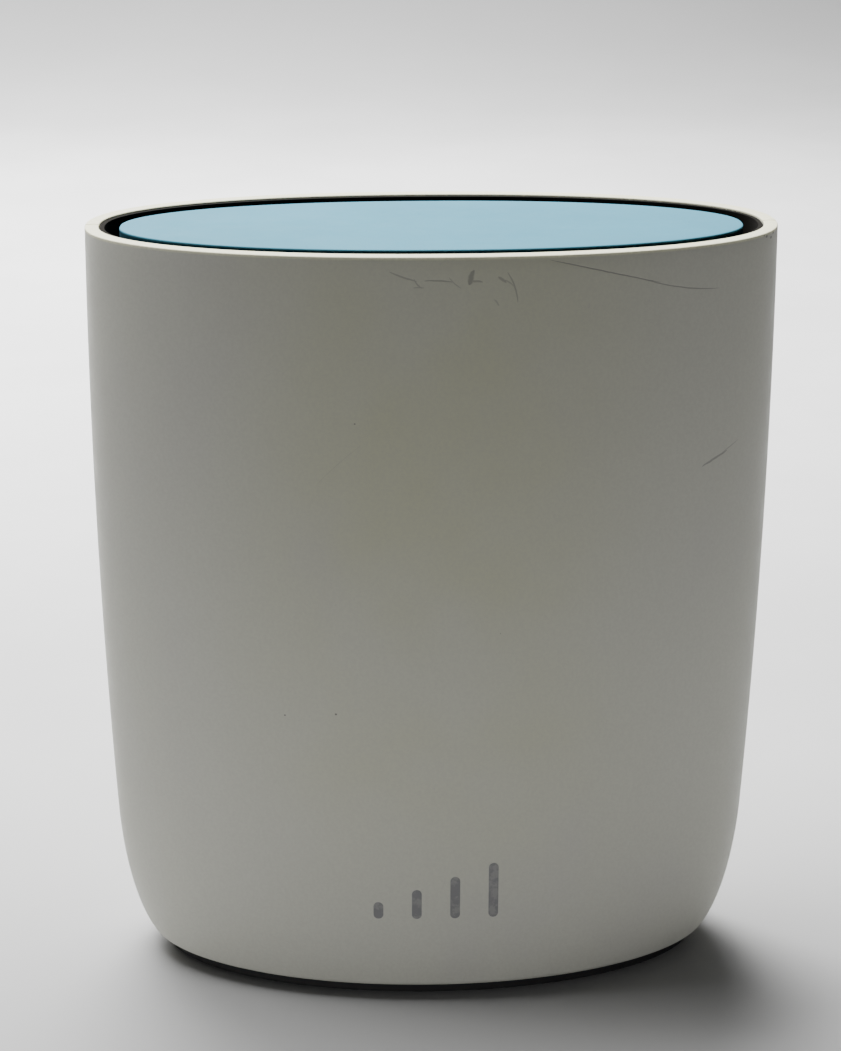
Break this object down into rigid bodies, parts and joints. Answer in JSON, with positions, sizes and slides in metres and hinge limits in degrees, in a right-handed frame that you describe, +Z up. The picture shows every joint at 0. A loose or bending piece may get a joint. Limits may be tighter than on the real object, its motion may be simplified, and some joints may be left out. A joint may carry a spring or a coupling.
{
  "type": "mesh wifi node",
  "caption": "Upright oval wifi node with a floating top cap in a dark groove, a recessed port bay low on the back and a black plinth.",
  "frame": {"origin": "on the ground under the middle of the oval case", "axes": "+Z up, -Y towards the plain front, +Y towards the port bay, +X to the right seen from the front"},
  "size_m": [0.143, 0.061, 0.165],
  "materials": {
    "shell_plastic": "satin off-white moulded plastic with a fine grain",
    "cap_plastic": "satin pale blue moulded plastic",
    "black_plastic": "satin black moulded plastic",
    "panel_plastic": "fine-textured dark grey plastic",
    "frame_plastic": "plain moulded plastic",
    "button_plastic": "smooth grey plastic",
    "port_yellow": "moulded connector plastic",
    "light_plastic": "frosted clear plastic",
    "board": "solder mask over glass laminate",
    "chip_resin": "moulded resin",
    "led_body": "white package with a phosphor face",
    "ribbon_film": "white ribbon film",
    "thermal_pad": "soft filled silicone",
    "heatsink_metal": "extruded aluminium",
    "steel": "plated steel",
    "contact_gold": "gold-plated spring contact",
    "foot_rubber": "matt rubber",
    "label_film": "blank printed film"
  },
  "bodies": {
    "case": {"front_shell": "shell_plastic", "rear_shell": "shell_plastic", "top_cap": "cap_plastic", "groove_liner": "black_plastic", "light_guide": "light_plastic", "led_board": "board", "ring_leds": "led_body", "led_screws": "steel", "liner_screws": "steel", "led_ribbon": "ribbon_film", "ribbon_sockets": "black_plastic", "chassis_frame": "frame_plastic", "main_board": "board", "radio_chips": "chip_resin", "processor": "chip_resin", "memory_chips": "chip_resin", "front_shield_can": "steel", "rear_shield_can": "steel", "front_thermal_pad": "thermal_pad", "rear_thermal_pad": "thermal_pad", "front_heatsink": "heatsink_metal", "rear_heatsink": "heatsink_metal", "heatsink_screws": "steel", "board_screws": "steel", "chassis_screws": "steel", "left_aerial": "board", "right_aerial": "board", "upper_left_aerial": "board", "upper_right_aerial": "board", "left_coax": "black_plastic", "right_coax": "black_plastic", "upper_left_coax": "black_plastic", "upper_right_coax": "black_plastic", "coax_sockets": "contact_gold", "port_panel": "panel_plastic", "ethernet_shield_1": "steel", "ethernet_shield_2": "steel", "ethernet_insert_1": "port_yellow", "ethernet_insert_2": "black_plastic", "ethernet_contacts_1": "contact_gold", "ethernet_contacts_2": "contact_gold", "ethernet_transformers": "chip_resin", "dc_jack_body": "black_plastic", "dc_jack_pin": "steel", "dc_jack_spring": "contact_gold", "sync_switch": "black_plastic", "power_switch": "black_plastic", "reset_switch": "black_plastic", "power_light_pipe": "light_plastic", "power_led": "led_body", "power_inductors": "chip_resin", "base_plate": "black_plastic", "base_screws": "steel", "rubber_feet": "foot_rubber", "rating_label": "label_film"},
    "sync_key": {"sync_button": "button_plastic", "sync_plunger": "steel"},
    "power_key": {"power_button": "button_plastic", "power_plunger": "button_plastic"},
    "reset_key": {"reset_plunger": "button_plastic"}
  },
  "joints": [
    {"name": "sync_press", "type": "slide", "parent": "case", "child": "sync_key", "axis": [0, -1, 0], "range_m": [0, 0.0005], "stiffness_N_per_m": 3000, "springref_m": -0.0002},
    {"name": "power_press", "type": "slide", "parent": "case", "child": "power_key", "axis": [0, -1, 0], "range_m": [0, 0.0015], "stiffness_N_per_m": 1500, "springref_m": -0.0005},
    {"name": "reset_press", "type": "slide", "parent": "case", "child": "reset_key", "axis": [0, -1, 0], "range_m": [0, 0.0005], "stiffness_N_per_m": 3000, "springref_m": -0.0002}
  ]
}
